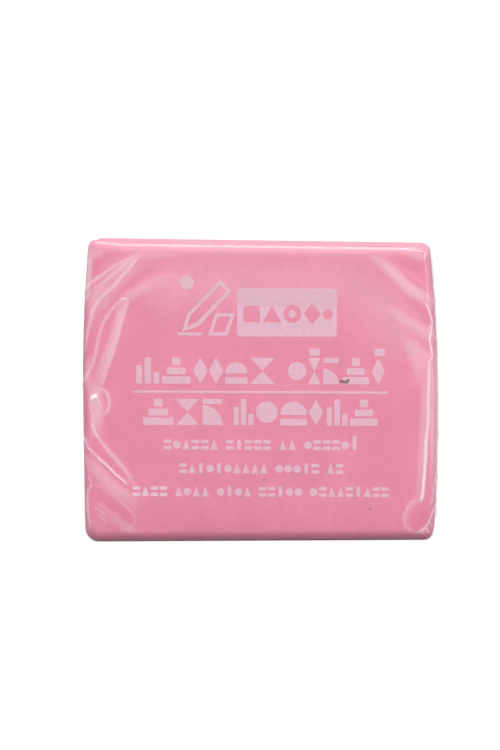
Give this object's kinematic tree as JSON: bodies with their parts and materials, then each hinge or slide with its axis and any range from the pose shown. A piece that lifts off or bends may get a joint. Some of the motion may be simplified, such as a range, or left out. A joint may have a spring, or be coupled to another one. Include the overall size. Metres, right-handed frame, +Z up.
{
  "type": "kneaded eraser",
  "caption": "Soft rectangular kneaded eraser sealed in a tight clear shrink film with gathered ends, standing on its long narrow side.",
  "frame": {"origin": "middle of the long narrow face that the pack stands on", "axes": "+X along the width, to the right seen from the printed front; -Y out of the printed front; +Z up"},
  "size_m": [0.0422, 0.0108, 0.0351],
  "materials": {
    "eraser_dough": "soft matt putty, pink",
    "clear_film": "clear glossy shrink film"
  },
  "bodies": {
    "root": {"eraser_block": "eraser_dough", "film_wrap": "clear_film"}
  },
  "joints": []
}
